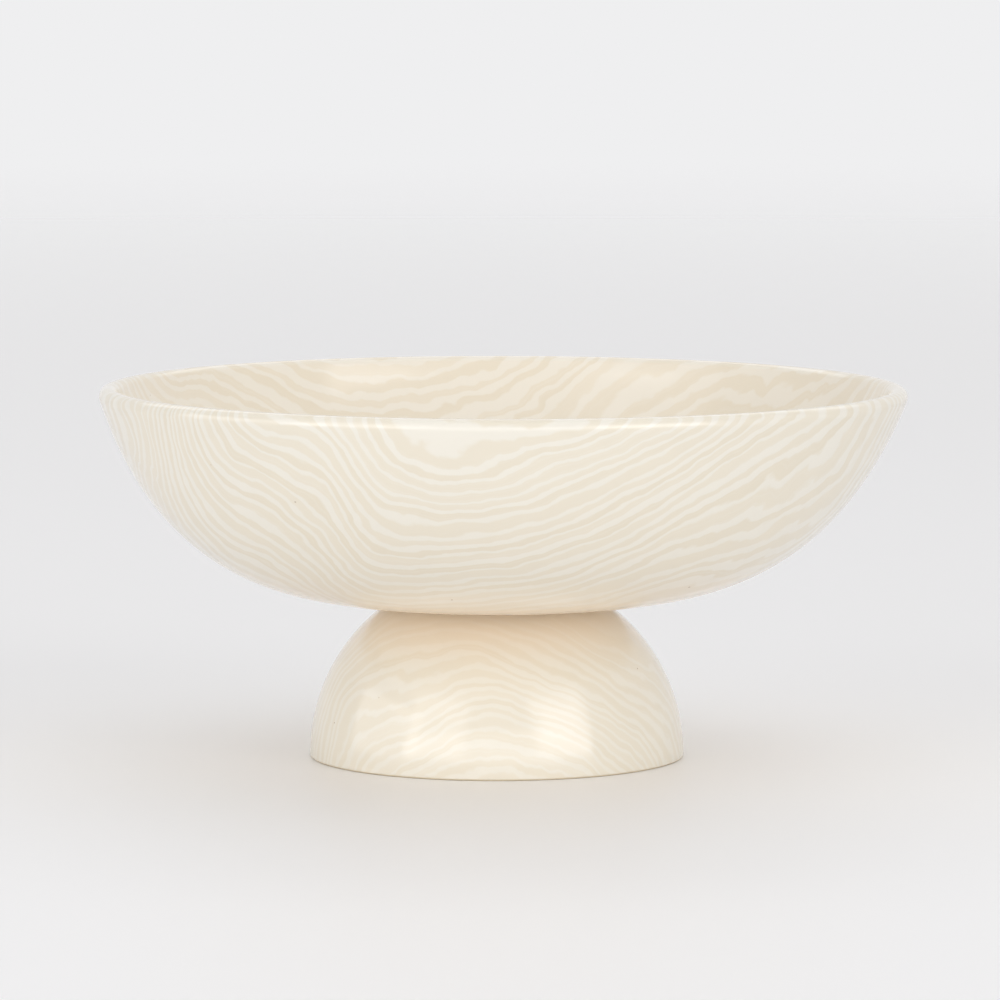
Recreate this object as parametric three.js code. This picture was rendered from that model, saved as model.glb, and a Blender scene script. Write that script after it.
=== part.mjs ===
// A pedestal bowl in marbled stoneware: a wide open bowl stands on a hollow dome foot, and a layer
// of slip lutes the two together before they are glazed and fired. Nothing on it moves.
// Millimetres, +Z up. The origin is the centre of the foot ring, on the surface it stands on.

import * as THREE from 'three';

// Whole object
const RIM_DIAMETER = 300; // over the widest part of the lip
const OVERALL_HEIGHT = 138.5; // foot ring to the top of the lip

// Bowl: one slab of even thickness, draped over a mould and trimmed at the rim
const BOWL_WALL = 7;
const RIM_LEAN = 19.2; // degrees that the wall leans out from the vertical at the lip
const RIM_PULL = 70; // how far the lip's direction holds down the wall, as a curve handle
const SEAT_PULL = 42; // how far the underside runs on level from the seat, as a curve handle
const SEAT_MARGIN = 1.5; // the flat under the bowl reaches this far past the foot's crown

// Foot: a hollow dome, open below, with its crown cut off flat to take the bowl
const FOOT_DIAMETER = 138.6;
const FOOT_HEIGHT = 58; // foot ring to the cut crown
const FOOT_WALL = 7; // at the foot ring
const FOOT_RING_ROUND = 1.5; // radius on both edges of the foot ring
const CROWN_DIAMETER = 77; // over the cut crown
const CROWN_LAND = 13; // width of the cut face, between its outer edge and the hole in it
const CROWN_EDGE = 1.5; // height of the upright edge of that hole

// Slip: spread on the scored crown, pressed down by the bowl and wiped back
const SLIP_THICKNESS = 0.8;
const SLIP_SETBACK = 0.6; // from both edges of the crown

// Facets
const ROUND_STEPS = 72;
const WALL_STEPS = 16;
const DOME_STEPS = 10;
const LIP_STEPS = 6;
const EDGE_STEPS = 3;

const CLAY = { color: '#eadfca', roughness: 0.12, metalness: 0 };
const SLIP = { color: '#e6dac3', roughness: 0.6, metalness: 0 };

const crownRadius = CROWN_DIAMETER / 2;
const boreRadius = crownRadius - CROWN_LAND;
const seatHeight = FOOT_HEIGHT + SLIP_THICKNESS;

const point = (radius, height) => new THREE.Vector2(radius, height);

// Turns a profile of (radius, height) points about the Z axis into a named part.
function turned(name, profile, finish) {
  const geometry = new THREE.LatheGeometry(profile, ROUND_STEPS);
  geometry.rotateX(Math.PI / 2);
  const mesh = new THREE.Mesh(geometry, new THREE.MeshStandardMaterial(finish));
  mesh.name = name;
  return mesh;
}

// A round edge in section, counter-clockwise from the start angle, in radians.
function round(centre, radius, start, sweep, steps) {
  const arc = new THREE.EllipseCurve(centre.x, centre.y, radius, radius, start, start + sweep);
  return arc.getPoints(steps);
}

// One side of the dome, from the foot ring up: an ellipse that springs upright at springHeight and
// passes through the given radius at the given height.
function domeSide(baseRadius, topRadius, topHeight) {
  const springHeight = FOOT_RING_ROUND;
  const endAngle = Math.acos(topRadius / baseRadius);
  const rise = (topHeight - springHeight) / Math.sin(endAngle);
  const side = new THREE.EllipseCurve(0, springHeight, baseRadius, rise, 0, endAngle);
  return side.getPoints(DOME_STEPS);
}

// The bowl's outer wall in section: it leaves the seat level and reaches the lip at RIM_LEAN. The
// lip is a half round, so the wall stops short of the rim's full width and height.
function outerWall(lean) {
  const halfWall = BOWL_WALL / 2;
  const seatEdge = point(crownRadius + SEAT_MARGIN, seatHeight);
  const rimEdge = point(
    RIM_DIAMETER / 2 - halfWall * (1 - Math.cos(lean)),
    OVERALL_HEIGHT - halfWall * (1 + Math.sin(lean)),
  );
  const seatHandle = point(seatEdge.x + SEAT_PULL, seatEdge.y);
  const rimHandle = point(rimEdge.x - RIM_PULL * Math.sin(lean), rimEdge.y - RIM_PULL * Math.cos(lean));
  return new THREE.CubicBezierCurve(seatEdge, seatHandle, rimHandle, rimEdge);
}

function bowl() {
  const lean = THREE.MathUtils.degToRad(RIM_LEAN);
  const wall = outerWall(lean);
  const outer = [];
  const inner = [];
  for (let step = 0; step <= WALL_STEPS; step += 1) {
    const place = wall.getPoint(step / WALL_STEPS);
    const along = wall.getTangent(step / WALL_STEPS);
    outer.push(place);
    inner.push(point(place.x - along.y * BOWL_WALL, place.y + along.x * BOWL_WALL));
  }
  const lipCentre = outer[WALL_STEPS].clone().add(inner[WALL_STEPS]).divideScalar(2);
  const lip = round(lipCentre, BOWL_WALL / 2, -lean, Math.PI, LIP_STEPS);
  const profile = [
    point(0, seatHeight),
    ...outer,
    ...lip.slice(1, -1),
    ...inner.reverse(),
    point(0, seatHeight + BOWL_WALL),
  ];
  return turned('bowl', profile, CLAY);
}

function foot() {
  const outerRadius = FOOT_DIAMETER / 2;
  const innerRadius = outerRadius - FOOT_WALL;
  const outerEdge = point(outerRadius - FOOT_RING_ROUND, FOOT_RING_ROUND);
  const innerEdge = point(innerRadius + FOOT_RING_ROUND, FOOT_RING_ROUND);
  const profile = [
    ...round(outerEdge, FOOT_RING_ROUND, -Math.PI / 2, Math.PI / 2, EDGE_STEPS),
    ...domeSide(outerRadius, crownRadius, FOOT_HEIGHT).slice(1),
    point(boreRadius, FOOT_HEIGHT),
    ...domeSide(innerRadius, boreRadius, FOOT_HEIGHT - CROWN_EDGE).reverse(),
    ...round(innerEdge, FOOT_RING_ROUND, Math.PI, Math.PI / 2, EDGE_STEPS).slice(1),
  ];
  return turned('foot', [...profile, profile[0]], CLAY);
}

function slipJoint() {
  const outerRadius = crownRadius - SLIP_SETBACK;
  const innerRadius = boreRadius + SLIP_SETBACK;
  const profile = [
    point(innerRadius, FOOT_HEIGHT),
    point(outerRadius, FOOT_HEIGHT),
    point(outerRadius, seatHeight),
    point(innerRadius, seatHeight),
  ];
  return turned('slip_joint', [...profile, profile[0]], SLIP);
}

const pedestalBowl = new THREE.Group();
pedestalBowl.add(bowl(), foot(), slipJoint());

export default pedestalBowl;
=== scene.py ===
import math

import bmesh
import bpy
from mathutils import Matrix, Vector, noise


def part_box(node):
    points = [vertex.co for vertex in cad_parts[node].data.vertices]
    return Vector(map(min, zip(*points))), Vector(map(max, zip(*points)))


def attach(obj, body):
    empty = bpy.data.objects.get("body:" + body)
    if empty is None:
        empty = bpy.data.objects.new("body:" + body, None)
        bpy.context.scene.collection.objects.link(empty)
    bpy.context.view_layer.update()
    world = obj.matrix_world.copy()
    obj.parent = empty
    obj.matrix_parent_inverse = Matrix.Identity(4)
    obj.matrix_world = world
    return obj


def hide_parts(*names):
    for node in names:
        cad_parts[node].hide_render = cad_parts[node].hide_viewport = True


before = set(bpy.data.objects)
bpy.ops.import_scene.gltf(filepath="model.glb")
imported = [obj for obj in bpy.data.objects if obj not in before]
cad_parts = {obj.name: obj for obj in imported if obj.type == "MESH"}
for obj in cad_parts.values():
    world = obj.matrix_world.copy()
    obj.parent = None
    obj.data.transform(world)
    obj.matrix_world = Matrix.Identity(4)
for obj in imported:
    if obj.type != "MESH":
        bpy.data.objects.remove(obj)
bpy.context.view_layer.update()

bl_info = {
    "name": "Marbled Pedestal Bowl",
    "version": (1, 0, 0),
    "blender": (4, 5, 0),
    "location": "View3D > Sidebar > Pedestal Bowl",
    "description": "A wide bowl of marbled stoneware on a hollow dome foot, in a plain pale studio",
    "category": "Object",
}

MM = 0.001
BODY = "root"
SLAB = 7 * MM  # thickness of the rolled clay

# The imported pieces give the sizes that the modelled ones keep.
BOWL_LOW, BOWL_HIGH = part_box("bowl")
FOOT_LOW, FOOT_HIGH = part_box("foot")
SLIP_LOW, SLIP_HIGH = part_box("slip_joint")

# How finely the pieces are sectioned and turned.
TURN_STEPS = 216
FLOOR_STEPS = 12
WALL_STEPS = 56
LIP_STEPS = 16
DOME_STEPS = 36
EDGE_STEPS = 6
WELD = 0.001 * MM
SHARP_ANGLE = math.radians(40)

# Soft lights round the bowl: name, place and size in metres, and glow, where white paper is 1.
LIGHT_AIM = Vector((0, 0, 0.09))
GLOW_WATTS = 4  # power of a square metre of lamp with a glow of 1
SOFT_LIGHTS = (
    ("front_scrim", (0, -4.0, 0.78), (13.9, 1.55), 1.01),
    ("left_scrim", (-5.0, -1.2, 1.3), (5.0, 2.6), 0.9),
    ("left_softbox", (-2.95, -3.6, 1.8), (3.2, 3.2), 0.82),
    ("high_scrim", (-3.6, -2.6, 3.4), (4.0, 3.0), 0.25),
    ("key_softbox", (3.2, -3.4, 1.9), (3.2, 3.2), 1.1),
    ("key_middle", (3.2, -3.4, 2.0), (2.3, 1.5), 0.82),
    ("back_strip", (0, 6.5, 5.4), (12.0, 2.2), 0.6),
)

# Folds in the two slabs of clay: place, reach to each side and to front and back, and how far the layers
# are pushed to the front, in millimetres from the slab's middle.
BOWL_FOLDS = (
    ((87, -107), (139, 111), 40),
    ((-80, -120), (41, 127), 26),
    ((-179, -85), (65, 173), 72),
    ((-130, -97), (63, 114), 27),
    ((-24, -168), (45, 26), -8),
    ((118, -67), (84, 89), -24),
    ((-8, -90), (56, 61), 12),
    ((81, 212), (213, 251), -93),
    ((-177, 80), (38, 105), 17),
    ((-88, 143), (128, 145), -32),
)
FOOT_FOLDS = (
    ((-37, -73), (44, 40), 11),
    ((-69, -42), (21, 33), -5),
    ((31, -47), (94, 59), 26),
    ((-4, -53), (48, 23), -4),
)

# Where each slab was cut from the block of clay, so that their ripples differ.
BOWL_CUT = (0, 0, 0)
FOOT_CUT = (8, 3, 5)

# Ripples that kneading, the rolling pin and the cutting wire left in the layers: width to the side, to the
# front and through the slab, and depth, in millimetres.
RIPPLES = (
    ((90, 70, 40), 3),
    ((30, 22, 12), 4.5),
    ((13, 10, 8), 2.4),
    ((5, 4, 4), 1),
)

# How much the layers vary: their spacing in pitches, their thickness and its pinching as shares of itself,
# and how soft their edges are, to each side, in pitches. A pinched place is so wide, in millimetres.
LAYER_DRIFT = 0.9
LAYER_SPREAD = 0.35
LAYER_PINCH = 0.8
LAYER_EDGE = 0.08
PINCH_WIDTHS = (40, 16, 12)
STREAK_SHARE = 0.3  # how far the smeared streaks turn the beige clay white

# Stoneware glaze is a clear glossy glass. Within this reach of the joint, and on the inside, a warm painted
# bounce light is mixed into the colour, each as a share of that painted colour. The glaze thins out to bare
# clay to each side of its end.
GLAZE_IOR = 1.6
GLAZE_ROUGHNESS = 0.13
PAINTED_BOUNCE_REACH = 22 * MM
JOINT_BOUNCE_PAINT = 0.65
INSIDE_BOUNCE_PAINT = 0.15
GLAZE_END = 0.3 * MM
GLAZE_WAVE_WIDTH = 6  # millimetres
GLAZE_WAVE_DEPTH = 0.03 * MM
BARE_ROUGHNESS = 0.8

# Iron specks: how far apart their places are, in millimetres, the share of the places that stays clear, and
# the smallest and largest reach of a speck as shares of that spacing.
SPECK_SPACING = 14
SPECK_CLEAR = 0.4
SPECK_REACH = (0.001, 0.045)
SPECK_CORE = 1.6  # above 1, the middle of a speck is burnt through

# Fired slip: the width of its sandy grain in millimetres, and the depth of the grain.
SLIP_ROUGHNESS = 0.7
GRAIN_WIDTH = 0.8
GRAIN_DEPTH = 0.1 * MM

# The paper, and where it fades out, as shares of its radius.
PAPER_ROUGHNESS = 0.45
PAPER_FADE = (0.14, 0.98)
PAPER_STEPS = 96
SENSOR_WIDTH = 36  # millimetres


def linear(hex_colour):
    """A colour written as sRGB hex, as the linear values that shaders and lamps take."""
    parts = [int(hex_colour[start:start + 2], 16) / 255 for start in (1, 3, 5)]
    return tuple(p / 12.92 if p <= 0.04045 else ((p + 0.055) / 1.055) ** 2.4 for p in parts)


def length(label, words, default):
    return bpy.props.FloatProperty(
        name=label, description=words, default=default, unit="LENGTH", precision=5
    )


def angle(label, words, degrees):
    return bpy.props.FloatProperty(
        name=label, description=words, default=math.radians(degrees), subtype="ANGLE"
    )


def share(label, words, default):
    return bpy.props.FloatProperty(
        name=label, description=words, default=default, subtype="FACTOR", min=0, max=1
    )


def colour(label, words, hex_colour):
    return bpy.props.FloatVectorProperty(
        name=label, description=words, default=linear(hex_colour), subtype="COLOR", size=3, min=0, max=1
    )


class BowlShape(bpy.types.PropertyGroup):
    rim_radius: length("Rim radius", "From the axis to the widest part of the lip", BOWL_HIGH.x)
    rim_height: length("Rim height", "From the floor to the top of the lip", BOWL_HIGH.z)
    seat_height: length("Seat height", "From the floor to the flat under the bowl", BOWL_LOW.z)
    seat_radius: length("Seat radius", "Half the width of the flat under the bowl", 40 * MM)
    wall: length("Wall", "Thickness of the clay slab", SLAB)
    rim_lean: angle("Rim lean", "How far the wall leans out from upright at the lip", 19.8)
    rim_pull: length("Rim pull", "How far the lip's direction holds down the wall", 80 * MM)
    seat_pull: length("Seat pull", "How far the underside runs on level from the seat", 26 * MM)
    sway: length("Sway", "How far the rim sits to the right of the foot, as it left the hand", 2.5 * MM)
    rim_tip: length("Rim tip", "How far the rim tips up on one side and down on the other", 0.55 * MM)
    tip_turn: angle("Tip turn", "Where the rim is highest, from the right-hand side", 115)
    hand_mark: length("Hand marks", "How far the wall is pressed in and out by hand", 0.35 * MM)
    hand_width: length("Hand mark width", "How wide a pressed place is", 55 * MM)


class FootShape(bpy.types.PropertyGroup):
    radius: length("Foot radius", "Half the width of the dome at the floor", FOOT_HIGH.x + 0.5 * MM)
    height: length("Foot height", "From the floor to the cut crown", FOOT_HIGH.z)
    wall: length("Wall", "Thickness of the clay at the foot ring", SLAB)
    ring_round: length("Ring round", "Radius on both edges of the foot ring", 1 * MM)
    crown_radius: length("Crown radius", "Half the width of the cut crown", 39.2 * MM)
    bore_radius: length("Bore radius", "Half the width of the hole in the crown", 25.5 * MM)
    bore_edge: length("Bore edge", "Height of the upright edge of that hole", 1.5 * MM)
    bare_ring: length("Bare ring", "How far up the foot ring was wiped bare of glaze", 0.6 * MM)
    hand_mark: length("Hand marks", "How far the dome is pressed in and out by hand", 0.25 * MM)
    hand_width: length("Hand mark width", "How wide a pressed place is", 40 * MM)


class SlipShape(bpy.types.PropertyGroup):
    outer_radius: length("Outer radius", "Half the width of the ring of slip", SLIP_HIGH.x)
    inner_radius: length("Inner radius", "Half the width of the hole in it", 26.1 * MM)
    edge_round: length("Edge round", "Radius on its wiped edges", 0.3 * MM)


class MarbledClay(bpy.types.PropertyGroup):
    white_clay: colour("White clay", "The pale layers", "#F3EEE2")
    beige_clay: colour("Beige clay", "The warm layers", "#EFE7D6")
    deep_beige: colour("Deep beige", "The darkest of the warm layers", "#ECE3D0")
    # Painted warm bounce light, mixed into the clay by the joint under the bowl and on the inside
    painted_bounce_light: colour("Pooled glaze", "Where the glaze lies thicker, by the joint and inside", "#FFEDD6")
    speck: colour("Speck", "Iron specks burnt through the glaze", "#A38157")
    bare_clay: colour("Bare clay", "The wiped foot ring, without glaze", "#DCCDB2")
    slip: colour("Slip", "The fired slip in the joint", "#D9C9AB")
    layer_pitch: length("Layer pitch", "From one white layer to the next", 7 * MM)
    white_share: share("White share", "How much of a layer's pitch is white", 0.45)
    foot_pitch: share("Foot pitch", "Layer pitch in the foot, as a share of the bowl's", 0.8)
    foot_clearness: share("Foot clearness", "How clearly the foot's white layers show", 0.72)


class Studio(bpy.types.PropertyGroup):
    paper: colour("Paper", "The pale sweep that the bowl stands on", "#F7F6F6")
    paper_radius: length("Paper radius", "How far the paper reaches", 6.0)
    air: colour("Air", "The pale background all round", "#EFEFF0")
    room_light: bpy.props.FloatVectorProperty(
        name="Room light",
        description="How much light comes from high on the right, high at the back and overhead",
        default=(0.93, 1.25, 0.9),
        subtype="XYZ",
    )
    view_distance: length("View distance", "From the camera back to the bowl's axis", 2148.9 * MM)
    view_height: length("View height", "From the floor to the camera", 303.9 * MM)
    aim_height: length("Aim height", "From the floor to the middle of the picture", 95.6 * MM)
    view_offset: length("View offset", "How far the camera stands to the right of the axis", 1.2 * MM)
    lens: bpy.props.FloatProperty(
        name="Lens", description="Focal length in millimetres, on a 36 mm wide sensor", default=208.6
    )


def add_node(tree, kind, links=None, **settings):
    """Adds a node with its settings, and feeds its inputs from sockets or plain values."""
    node = tree.nodes.new(kind)
    for name, value in settings.items():
        setattr(node, name, value)
    for name, source in (links or {}).items():
        if isinstance(source, bpy.types.NodeSocket):
            tree.links.new(source, node.inputs[name])
        else:
            node.inputs[name].default_value = source
    return node


def new_material(name):
    """An empty material: its node tree and its surface shader, joined to the output."""
    material = bpy.data.materials.new(name)
    material.use_nodes = True
    tree = material.node_tree
    tree.nodes.clear()
    shader = add_node(tree, "ShaderNodeBsdfPrincipled")
    add_node(tree, "ShaderNodeOutputMaterial", {"Surface": shader.outputs["BSDF"]})
    return material, tree, shader


def per_mm(*sizes):
    """Texture scale at which one unit of a pattern takes these sizes in millimetres."""
    return tuple(1 / (size * MM) for size in sizes)


def marbled_stoneware(name, clay, folds, cut, pitch, clearness, bare_height):
    """Marbled stoneware under a clear gloss glaze. White and beige clays were stacked, folded and cut
    to a slab, so wavy layers run through the wall like wood grain; the glaze mirrors the room softly.
    The slab's folds, cut and pitch place the layers, and clearness says how far the white ones stand out.
    Below the bare height the clay has no glaze."""
    material, tree, shader = new_material(name)
    slab = add_node(tree, "ShaderNodeAttribute", attribute_name="slab").outputs["Vector"]
    slab_axis = add_node(tree, "ShaderNodeSeparateXYZ", {"Vector": slab}).outputs
    bent = slab_axis["Y"]

    # The placed folds swing the layers in broad waves.
    for (side, front), (side_reach, front_reach), push in folds:
        place = add_node(
            tree,
            "ShaderNodeMapping",
            {
                "Vector": slab,
                "Location": (side * MM, front * MM, 0),
                "Scale": (side_reach * MM, front_reach * MM, 1),
            },
            vector_type="TEXTURE",
        ).outputs["Vector"]
        away = add_node(tree, "ShaderNodeVectorMath", {0: place}, operation="LENGTH").outputs["Value"]
        move = add_node(
            tree,
            "ShaderNodeMapRange",
            {"Value": away, "To Min": push * MM, "To Max": 0},
            interpolation_type="SMOOTHERSTEP",
        ).outputs["Result"]
        bent = add_node(tree, "ShaderNodeMath", {0: bent, 1: move}, operation="ADD").outputs["Value"]

    # The ripples swing them a little everywhere.
    for widths, depth in RIPPLES:
        place = add_node(
            tree, "ShaderNodeMapping", {"Vector": slab, "Location": cut, "Scale": per_mm(*widths)}
        ).outputs["Vector"]
        wave = add_node(
            tree, "ShaderNodeTexNoise", {"Vector": place, "Scale": 1, "Detail": 1, "Roughness": 0.45}
        ).outputs["Fac"]
        move = add_node(
            tree, "ShaderNodeMapRange", {"Value": wave, "To Min": -depth * MM, "To Max": depth * MM}
        ).outputs["Result"]
        bent = add_node(tree, "ShaderNodeMath", {0: bent, 1: move}, operation="ADD").outputs["Value"]

    # Layers counted through the block, some rolled thinner than others.
    count = add_node(tree, "ShaderNodeMath", {0: bent, 1: pitch}, operation="DIVIDE").outputs["Value"]
    uneven = add_node(
        tree, "ShaderNodeTexNoise", {"W": count, "Scale": 0.45, "Detail": 0}, noise_dimensions="1D"
    ).outputs["Fac"]
    count = add_node(
        tree, "ShaderNodeMath", {0: uneven, 1: LAYER_DRIFT, 2: count}, operation="MULTIPLY_ADD"
    ).outputs["Value"]

    # White layers: each has its own thickness, pinched here and there, with an edge about a millimetre soft.
    number = add_node(tree, "ShaderNodeMath", {0: count}, operation="ROUND").outputs["Value"]
    off_centre = add_node(tree, "ShaderNodeMath", {0: count, 1: 0.5}, operation="PINGPONG").outputs["Value"]
    own = add_node(tree, "ShaderNodeTexWhiteNoise", {"W": number}, noise_dimensions="1D").outputs["Value"]
    half = clay.white_share / 2
    thickness = add_node(
        tree,
        "ShaderNodeMapRange",
        {"Value": own, "To Min": half * (1 - LAYER_SPREAD), "To Max": half * (1 + LAYER_SPREAD)},
    ).outputs["Result"]
    pinch_place = add_node(
        tree, "ShaderNodeMapping", {"Vector": slab, "Location": cut, "Scale": per_mm(*PINCH_WIDTHS)}
    ).outputs["Vector"]
    pinch = add_node(
        tree, "ShaderNodeTexNoise", {"Vector": pinch_place, "Scale": 1, "Detail": 2}
    ).outputs["Fac"]
    pinch = add_node(
        tree,
        "ShaderNodeMapRange",
        {"Value": pinch, "To Min": -half * LAYER_PINCH, "To Max": half * LAYER_PINCH},
    ).outputs["Result"]
    thickness = add_node(tree, "ShaderNodeMath", {0: thickness, 1: pinch}, operation="ADD").outputs["Value"]
    past_edge = add_node(
        tree, "ShaderNodeMath", {0: thickness, 1: off_centre}, operation="SUBTRACT"
    ).outputs["Value"]
    edge = LAYER_EDGE / clearness
    white = add_node(
        tree,
        "ShaderNodeMapRange",
        {"Value": past_edge, "From Min": -edge, "From Max": edge, "To Max": clearness},
        interpolation_type="SMOOTHSTEP",
    ).outputs["Result"]

    # Each beige layer has its own tone, and faint pale streaks where the clays smeared into each other.
    band = add_node(tree, "ShaderNodeMath", {0: count}, operation="FLOOR").outputs["Value"]
    tone = add_node(tree, "ShaderNodeTexWhiteNoise", {"W": band}, noise_dimensions="1D").outputs["Value"]
    beige = add_node(
        tree,
        "ShaderNodeMix",
        {0: tone, 6: (*clay.beige_clay, 1), 7: (*clay.deep_beige, 1)},
        data_type="RGBA",
    ).outputs[2]
    streak = add_node(
        tree, "ShaderNodeTexNoise", {"W": count, "Scale": 5, "Detail": 2}, noise_dimensions="1D"
    ).outputs["Fac"]
    streak = add_node(
        tree,
        "ShaderNodeMapRange",
        {"Value": streak, "From Min": 0.5, "From Max": 0.8, "To Max": STREAK_SHARE},
    ).outputs["Result"]
    white = add_node(tree, "ShaderNodeMath", {0: white, 1: streak}, operation="MAXIMUM").outputs["Value"]
    marble = add_node(
        tree, "ShaderNodeMix", {0: white, 6: beige, 7: (*clay.white_clay, 1)}, data_type="RGBA"
    ).outputs[2]

    # Painted warm bounce light: the colour turns deeper and warmer by the joint, in the shade under the
    # bowl, and a little on the inside, in place of light the clay throws onto itself.
    place = add_node(tree, "ShaderNodeTexCoord").outputs["Object"]
    height = add_node(tree, "ShaderNodeSeparateXYZ", {"Vector": place}).outputs["Z"]
    off_joint = add_node(
        tree, "ShaderNodeMath", {0: height, 1: SLIP_LOW.z}, operation="SUBTRACT"
    ).outputs["Value"]
    off_joint = add_node(tree, "ShaderNodeMath", {0: off_joint}, operation="ABSOLUTE").outputs["Value"]
    painted_bounce = add_node(
        tree,
        "ShaderNodeMapRange",
        {"Value": off_joint, "From Max": PAINTED_BOUNCE_REACH, "To Min": JOINT_BOUNCE_PAINT, "To Max": 0},
        interpolation_type="SMOOTHSTEP",
    ).outputs["Result"]
    # The inside gets a share of the painted warm bounce light too
    inside_bounce = add_node(
        tree, "ShaderNodeMapRange", {"Value": slab_axis["Z"], "From Max": SLAB, "To Max": INSIDE_BOUNCE_PAINT}
    ).outputs["Result"]
    painted_bounce = add_node(tree, "ShaderNodeMath", {0: painted_bounce, 1: inside_bounce}, operation="MAXIMUM").outputs["Value"]
    marble = add_node(
        tree, "ShaderNodeMix", {0: painted_bounce, 6: marble, 7: (*clay.painted_bounce_light, 1)}, data_type="RGBA"
    ).outputs[2]

    # Sparse iron specks up to a millimetre across, burnt through the glaze.
    cell = add_node(tree, "ShaderNodeTexVoronoi", {"Vector": place, "Scale": per_mm(SPECK_SPACING)[0]})
    rank = add_node(tree, "ShaderNodeSeparateColor", {"Color": cell.outputs["Color"]}).outputs["Red"]
    smallest, largest = SPECK_REACH
    reach = add_node(
        tree,
        "ShaderNodeMapRange",
        {"Value": rank, "From Min": SPECK_CLEAR, "To Min": smallest, "To Max": largest},
    ).outputs["Result"]
    burnt = add_node(
        tree,
        "ShaderNodeMapRange",
        {"Value": cell.outputs["Distance"], "From Min": reach, "From Max": 0, "To Max": SPECK_CORE},
    ).outputs["Result"]
    marble = add_node(
        tree, "ShaderNodeMix", {0: burnt, 6: marble, 7: (*clay.speck, 1)}, data_type="RGBA"
    ).outputs[2]

    # The glaze stops at the ring that was wiped bare for the kiln shelf.
    bare = add_node(
        tree,
        "ShaderNodeMapRange",
        {"Value": height, "From Min": bare_height + GLAZE_END, "From Max": bare_height - GLAZE_END},
    ).outputs["Result"]
    surface = add_node(
        tree, "ShaderNodeMix", {0: bare, 6: marble, 7: (*clay.bare_clay, 1)}, data_type="RGBA"
    ).outputs[2]
    roughness = add_node(
        tree, "ShaderNodeMapRange", {"Value": bare, "To Min": GLAZE_ROUGHNESS, "To Max": BARE_ROUGHNESS}
    ).outputs["Result"]

    # Fired glaze is not quite flat: it rises and falls by hundredths of a millimetre.
    ripple = add_node(
        tree, "ShaderNodeTexNoise", {"Vector": place, "Scale": per_mm(GLAZE_WAVE_WIDTH)[0], "Detail": 2}
    ).outputs["Fac"]
    glaze_face = add_node(
        tree, "ShaderNodeBump", {"Height": ripple, "Distance": GLAZE_WAVE_DEPTH, "Strength": 0.5}
    ).outputs["Normal"]
    tree.links.new(surface, shader.inputs["Base Color"])
    tree.links.new(roughness, shader.inputs["Roughness"])
    tree.links.new(glaze_face, shader.inputs["Normal"])
    shader.inputs["IOR"].default_value = GLAZE_IOR
    return material


def fired_slip(name, clay):
    """Fired luting slip, wiped with a damp sponge: the same beige clay, matt, with a fine sandy grain."""
    material, tree, shader = new_material(name)
    place = add_node(tree, "ShaderNodeTexCoord").outputs["Object"]
    grain = add_node(
        tree, "ShaderNodeTexNoise", {"Vector": place, "Scale": per_mm(GRAIN_WIDTH)[0], "Detail": 3}
    ).outputs["Fac"]
    tone = add_node(
        tree,
        "ShaderNodeMix",
        {0: grain, 6: (*clay.slip, 1), 7: (*clay.deep_beige, 1)},
        data_type="RGBA",
    ).outputs[2]
    face = add_node(
        tree, "ShaderNodeBump", {"Height": grain, "Distance": GRAIN_DEPTH, "Strength": 0.5}
    ).outputs["Normal"]
    tree.links.new(tone, shader.inputs["Base Color"])
    tree.links.new(face, shader.inputs["Normal"])
    shader.inputs["Roughness"].default_value = SLIP_ROUGHNESS
    return material


def seamless_paper(name, studio):
    """A seamless paper sweep: pale, with a faint satin sheen, fading out into the pale room far away."""
    material, tree, shader = new_material(name)
    shader.inputs["Base Color"].default_value = (*studio.paper, 1)
    shader.inputs["Roughness"].default_value = PAPER_ROUGHNESS
    place = add_node(tree, "ShaderNodeTexCoord").outputs["Object"]
    away = add_node(tree, "ShaderNodeVectorMath", {0: place}, operation="LENGTH").outputs["Value"]
    fade_start, fade_end = (studio.paper_radius * part for part in PAPER_FADE)
    fade = add_node(
        tree,
        "ShaderNodeMapRange",
        {"Value": away, "From Min": fade_start, "From Max": fade_end},
        interpolation_type="SMOOTHSTEP",
    ).outputs["Result"]
    clear = add_node(tree, "ShaderNodeBsdfTransparent").outputs["BSDF"]
    sweep = add_node(tree, "ShaderNodeMixShader", {0: fade, 1: shader.outputs["BSDF"], 2: clear})
    output = tree.nodes["Material Output"]
    tree.links.new(sweep.outputs["Shader"], output.inputs["Surface"])
    return material


def on_curve(handles, way):
    """Place and direction on a Bezier curve, at a share of the way along it."""
    while len(handles) > 2:
        handles = [start.lerp(end, way) for start, end in zip(handles, handles[1:])]
    return handles[0].lerp(handles[1], way), (handles[1] - handles[0]).normalized()


def arc(centre, radius, start, sweep, steps):
    """A round edge in section, counter-clockwise where the sweep is positive."""
    turns = [start + sweep * step / steps for step in range(steps + 1)]
    return [centre + radius * Vector((math.cos(turn), math.sin(turn))) for turn in turns]


def run_along(line, start):
    """How far along the slab each point of a line lies."""
    runs = [start]
    for here, there in zip(line, line[1:]):
        runs.append(runs[-1] + (there - here).length)
    return runs


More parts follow.
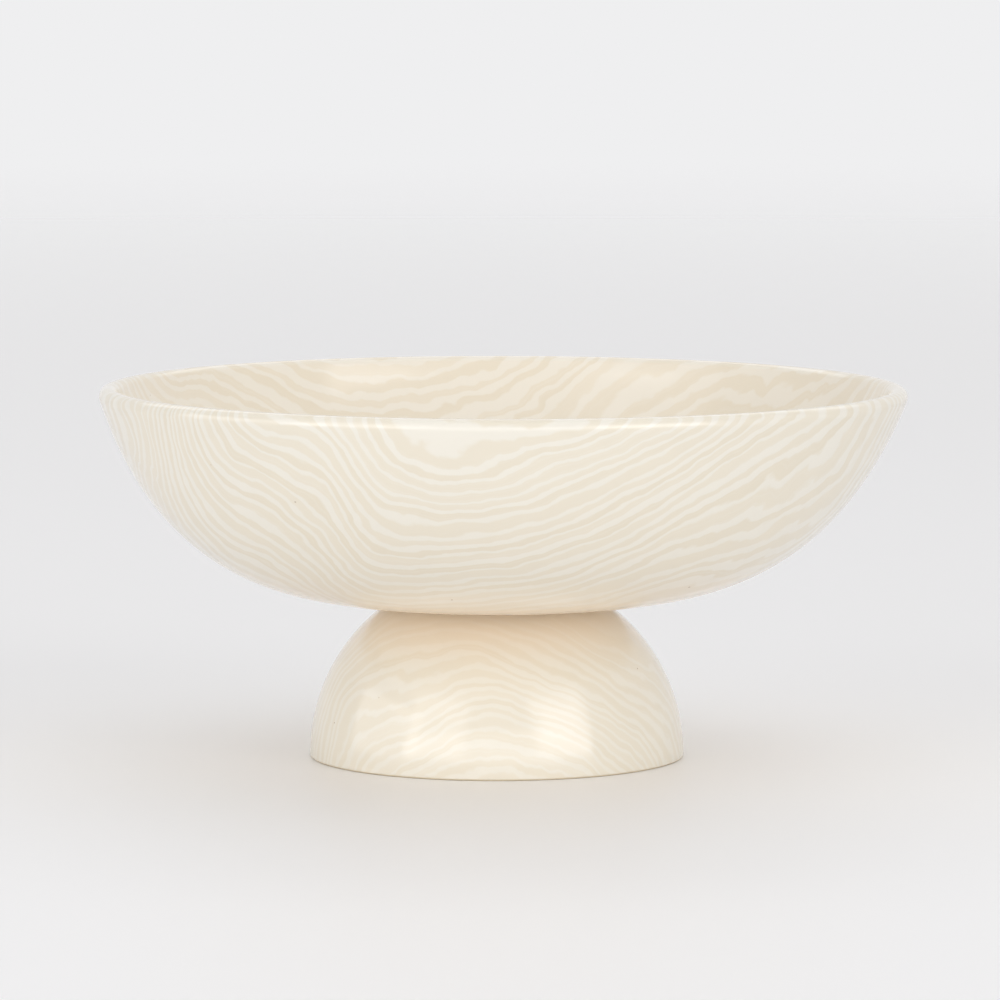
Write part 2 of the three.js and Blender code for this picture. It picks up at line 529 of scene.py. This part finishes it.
def bowl_section(shape):
    """The bowl in section, from under the middle of its seat, over the lip, to the middle of its floor.
    Each row is a point (radius, height), its run along the slab from the middle, and its depth in it."""
    half = shape.wall / 2
    lean = shape.rim_lean
    seat_edge = Vector((shape.seat_radius, shape.seat_height))
    rim_edge = Vector((
        shape.rim_radius - half * (1 - math.cos(lean)),
        shape.rim_height - half * (1 + math.sin(lean)),
    ))
    seat_handle = seat_edge + Vector((shape.seat_pull, 0))
    rim_handle = rim_edge - shape.rim_pull * Vector((math.sin(lean), math.cos(lean)))
    handles = [seat_edge, seat_handle, rim_handle, rim_edge]
    wall = [on_curve(handles, step / WALL_STEPS) for step in range(WALL_STEPS + 1)]
    outer = [place for place, _ in wall]
    inner = [place + shape.wall * along.orthogonal() for place, along in wall]
    runs = run_along(outer, shape.seat_radius)
    flat = [shape.seat_radius * step / FLOOR_STEPS for step in range(FLOOR_STEPS)]

    rows = [(Vector((radius, shape.seat_height)), radius, 0) for radius in flat]
    rows += [(place, run, 0) for place, run in zip(outer, runs)]
    lip_centre = (outer[-1] + inner[-1]) / 2
    lip = arc(lip_centre, half, -lean, math.pi, LIP_STEPS)
    for step in range(1, LIP_STEPS):
        turn = math.pi * step / LIP_STEPS
        rows.append((lip[step], runs[-1] + half * math.sin(turn), half * (1 - math.cos(turn))))
    rows += [(place, run, shape.wall) for place, run in zip(reversed(inner), reversed(runs))]
    floor_height = shape.seat_height + shape.wall
    rows += [(Vector((radius, floor_height)), radius, shape.wall) for radius in reversed(flat)]
    return rows


def dome_side(base_radius, top_radius, spring_height, top_height):
    """One side of the dome in section, from the top down: an ellipse that stands upright at its foot."""
    end = math.acos(top_radius / base_radius)
    rise = (top_height - spring_height) / math.sin(end)
    turns = [end * step / DOME_STEPS for step in range(DOME_STEPS, -1, -1)]
    return [Vector((base_radius * math.cos(turn), spring_height + rise * math.sin(turn))) for turn in turns]


def foot_section(shape):
    """The foot in section, from the crown's edge down the outside, under the ring and up the inside.
    Each row is a point (radius, height), its run along the slab from the crown, and its depth in it."""
    edge = shape.ring_round
    inner_radius = shape.radius - shape.wall
    outer = dome_side(shape.radius, shape.crown_radius, edge, shape.height)
    inner = dome_side(inner_radius, shape.bore_radius, edge, shape.height - shape.bore_edge)
    runs = run_along(outer, shape.crown_radius)
    outer_edge = arc(Vector((shape.radius - edge, edge)), edge, 0, -math.pi / 2, EDGE_STEPS)
    inner_edge = arc(Vector((inner_radius + edge, edge)), edge, -math.pi / 2, -math.pi / 2, EDGE_STEPS)

    rows = [(place, run, 0) for place, run in zip(outer, runs)]
    rows += [(place, runs[-1] + edge, shape.radius - place.x) for place in outer_edge[1:] + inner_edge[:-1]]
    rows += [(place, run, shape.wall) for place, run in zip(reversed(inner), reversed(runs))]
    rows.append((Vector((shape.bore_radius, shape.height)), shape.bore_radius, shape.wall))
    return rows


def slip_section(shape, low, high):
    """The ring of slip in section, with wiped edges, as rows of a point, its run and its depth."""
    edge = shape.edge_round
    corners = (
        (Vector((shape.inner_radius + edge, low + edge)), math.pi),
        (Vector((shape.outer_radius - edge, low + edge)), -math.pi / 2),
        (Vector((shape.outer_radius - edge, high - edge)), 0),
        (Vector((shape.inner_radius + edge, high - edge)), math.pi / 2),
    )
    rounds = [arc(centre, edge, start, math.pi / 2, EDGE_STEPS) for centre, start in corners]
    return [(place, place.x, high - place.y) for line in rounds for place in line]


def turned(rows, closed):
    """Turns a section about the axis and marks every vertex with its place in the clay slab, seen from
    above as the slab was before it was formed. Returns the mesh and that mark."""
    bm = bmesh.new()
    slab = bm.verts.layers.float_vector.new("slab")
    line = []
    for place, run, depth in rows:
        vert = bm.verts.new((place.x, 0, place.y))
        vert[slab] = (run, 0, depth)
        line.append(vert)
    ends = line[1:] + line[:1] if closed else line[1:]
    edges = [bm.edges.new(pair) for pair in zip(line, ends)]
    bmesh.ops.spin(
        bm,
        geom=line + edges,
        cent=(0, 0, 0),
        axis=(0, 0, 1),
        angle=math.tau,
        steps=TURN_STEPS,
        use_merge=True,
    )
    bmesh.ops.remove_doubles(bm, verts=bm.verts, dist=WELD)
    bmesh.ops.recalc_face_normals(bm, faces=bm.faces)
    if not all(joint.is_manifold for joint in bm.edges):
        raise RuntimeError("A turned section is not closed")
    for vert in bm.verts:
        run, _, depth = vert[slab]
        outward = vert.co.to_2d().normalized() * run
        vert[slab] = (*outward, depth)
    for face in bm.faces:
        face.smooth = True
    return bm, slab


def press_by_hand(bm, slab, mark, width, low, high):
    """Pushes a turned wall in and out as hands do, more towards its free edge, both faces together."""
    for vert in bm.verts:
        place = vert[slab].copy()
        place.z = 0
        reach = min(max((vert.co.z - low) / (high - low), 0), 1)
        push = mark * reach * noise.noise(place / width)
        vert.co += push * vert.co.to_2d().normalized().to_3d()


def new_piece(context, name, bm, material, node):
    """Makes a finished mesh a piece of the bowl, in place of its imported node."""
    mesh = bpy.data.meshes.new(name)
    bm.to_mesh(mesh)
    bm.free()
    mesh.set_sharp_from_angle(angle=SHARP_ANGLE)
    mesh.materials.append(material)
    piece = bpy.data.objects.new(name, mesh)
    context.collection.objects.link(piece)
    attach(piece, BODY)
    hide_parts(node)


class PEDESTAL_OT_foot(bpy.types.Operator):
    """Models the hollow dome foot"""

    bl_idname = "pedestal.foot"
    bl_label = "Dome Foot"

    def execute(self, context):
        shape = context.scene.pedestal_foot
        clay = context.scene.pedestal_clay
        bm, slab = turned(foot_section(shape), closed=True)
        press_by_hand(bm, slab, shape.hand_mark, shape.hand_width, shape.height, 0)
        material = marbled_stoneware(
            "glazed_stoneware_foot",
            clay,
            folds=FOOT_FOLDS,
            cut=FOOT_CUT,
            pitch=clay.layer_pitch * clay.foot_pitch,
            clearness=clay.foot_clearness,
            bare_height=shape.bare_ring,
        )
        new_piece(context, "dome_foot", bm, material, "foot")
        return {"FINISHED"}


class PEDESTAL_OT_slip_joint(bpy.types.Operator):
    """Models the ring of slip that lutes the bowl to its foot"""

    bl_idname = "pedestal.slip_joint"
    bl_label = "Slip Joint"

    def execute(self, context):
        shape = context.scene.pedestal_slip
        clay = context.scene.pedestal_clay
        bm, _ = turned(slip_section(shape, SLIP_LOW.z, SLIP_HIGH.z), closed=True)
        new_piece(context, "luted_joint", bm, fired_slip("fired_slip", clay), "slip_joint")
        return {"FINISHED"}


class PEDESTAL_OT_bowl(bpy.types.Operator):
    """Models the wide bowl with its rounded lip"""

    bl_idname = "pedestal.bowl"
    bl_label = "Bowl"

    def execute(self, context):
        shape = context.scene.pedestal_bowl
        clay = context.scene.pedestal_clay
        bm, slab = turned(bowl_section(shape), closed=False)
        press_by_hand(bm, slab, shape.hand_mark, shape.hand_width, shape.seat_height, shape.rim_height)
        # The rim left the hand a little to one side and not quite level.
        for vert in bm.verts:
            climb = (vert.co.z - shape.seat_height) / (shape.rim_height - shape.seat_height)
            turn = math.atan2(vert.co.y, vert.co.x)
            vert.co.x += shape.sway * climb
            vert.co.z += shape.rim_tip * climb ** 2 * math.cos(turn - shape.tip_turn)
        material = marbled_stoneware(
            "glazed_stoneware_bowl",
            clay,
            folds=BOWL_FOLDS,
            cut=BOWL_CUT,
            pitch=clay.layer_pitch,
            clearness=1,
            bare_height=0,
        )
        new_piece(context, "marbled_bowl", bm, material, "bowl")
        return {"FINISHED"}


class PEDESTAL_OT_stage(bpy.types.Operator):
    """Sets up the paper sweep, the soft lights and the camera"""

    bl_idname = "pedestal.stage"
    bl_label = "Studio"

    def execute(self, context):
        studio = context.scene.pedestal_studio
        context.scene.view_settings.view_transform = "Standard"

        bm = bmesh.new()
        bmesh.ops.create_circle(bm, cap_ends=True, segments=PAPER_STEPS, radius=studio.paper_radius)
        mesh = bpy.data.meshes.new("paper_sweep")
        bm.to_mesh(mesh)
        bm.free()
        mesh.materials.append(seamless_paper("seamless_paper", studio))
        sweep = bpy.data.objects.new("paper_sweep", mesh)
        context.collection.objects.link(sweep)

        # The camera and mirrors see plain pale air. The light comes from high on the right, high at the
        # back and overhead, and none from below the horizon.
        world = bpy.data.worlds.new("pale_room")
        world.use_nodes = True
        tree = world.node_tree
        tree.nodes.clear()
        ray = add_node(tree, "ShaderNodeLightPath").outputs
        seen = add_node(
            tree, "ShaderNodeMath", {0: ray["Is Camera Ray"], 1: ray["Is Glossy Ray"]}, operation="MAXIMUM"
        ).outputs["Value"]
        seen = add_node(
            tree, "ShaderNodeMath", {0: seen, 1: ray["Is Transmission Ray"]}, operation="MAXIMUM"
        ).outputs["Value"]
        way = add_node(tree, "ShaderNodeTexCoord").outputs["Generated"]
        facing = add_node(
            tree, "ShaderNodeVectorMath", {0: way, 1: (0, 0, 0)}, operation="MAXIMUM"
        ).outputs["Vector"]
        rise = add_node(tree, "ShaderNodeSeparateXYZ", {"Vector": facing}).outputs["Z"]
        room = add_node(
            tree, "ShaderNodeVectorMath", {0: facing, 1: studio.room_light}, operation="DOT_PRODUCT"
        ).outputs["Value"]
        room = add_node(tree, "ShaderNodeMath", {0: room, 1: rise}, operation="MULTIPLY").outputs["Value"]
        strength = add_node(tree, "ShaderNodeMapRange", {"Value": seen, "To Min": room}).outputs["Result"]
        air = add_node(tree, "ShaderNodeBackground", {"Color": (*studio.air, 1), "Strength": strength})
        add_node(tree, "ShaderNodeOutputWorld", {"Surface": air.outputs["Background"]})
        context.scene.world = world

        for name, place, (width, height), glow in SOFT_LIGHTS:
            lamp = bpy.data.lights.new(name, "AREA")
            lamp.shape = "RECTANGLE"
            lamp.size = width
            lamp.size_y = height
            lamp.energy = GLOW_WATTS * glow * width * height
            light = bpy.data.objects.new(name, lamp)
            light.location = place
            light.rotation_euler = (LIGHT_AIM - light.location).to_track_quat("-Z", "Y").to_euler()
            light.visible_camera = False
            context.collection.objects.link(light)

        lens = bpy.data.cameras.new("studio_camera")
        lens.lens = studio.lens
        lens.sensor_width = SENSOR_WIDTH
        camera = bpy.data.objects.new("studio_camera", lens)
        camera.location = (studio.view_offset, -studio.view_distance, studio.view_height)
        aim = Vector((studio.view_offset, 0, studio.aim_height)) - camera.location
        camera.rotation_euler = aim.to_track_quat("-Z", "Y").to_euler()
        context.collection.objects.link(camera)
        context.scene.camera = camera
        return {"FINISHED"}


class PEDESTAL_PT_build(bpy.types.Panel):
    """Lists the steps that build the bowl"""

    bl_idname = "PEDESTAL_PT_build"
    bl_label = "Pedestal Bowl"
    bl_space_type = "VIEW_3D"
    bl_region_type = "UI"
    bl_category = "Pedestal Bowl"

    def draw(self, context):
        for operator in OPERATORS:
            self.layout.operator(operator.bl_idname)


GROUPS = {
    "pedestal_bowl": BowlShape,
    "pedestal_foot": FootShape,
    "pedestal_slip": SlipShape,
    "pedestal_clay": MarbledClay,
    "pedestal_studio": Studio,
}
OPERATORS = (PEDESTAL_OT_foot, PEDESTAL_OT_slip_joint, PEDESTAL_OT_bowl, PEDESTAL_OT_stage)


def register():
    for cls in (*GROUPS.values(), *OPERATORS, PEDESTAL_PT_build):
        bpy.utils.register_class(cls)
    for name, group in GROUPS.items():
        setattr(bpy.types.Scene, name, bpy.props.PointerProperty(type=group))


def unregister():
    for name in GROUPS:
        delattr(bpy.types.Scene, name)
    for cls in reversed((*GROUPS.values(), *OPERATORS, PEDESTAL_PT_build)):
        bpy.utils.unregister_class(cls)


def main():
    register()
    bpy.ops.pedestal.foot()
    bpy.ops.pedestal.slip_joint()
    bpy.ops.pedestal.bowl()
    bpy.ops.pedestal.stage()


if __name__ == "__main__":
    main()
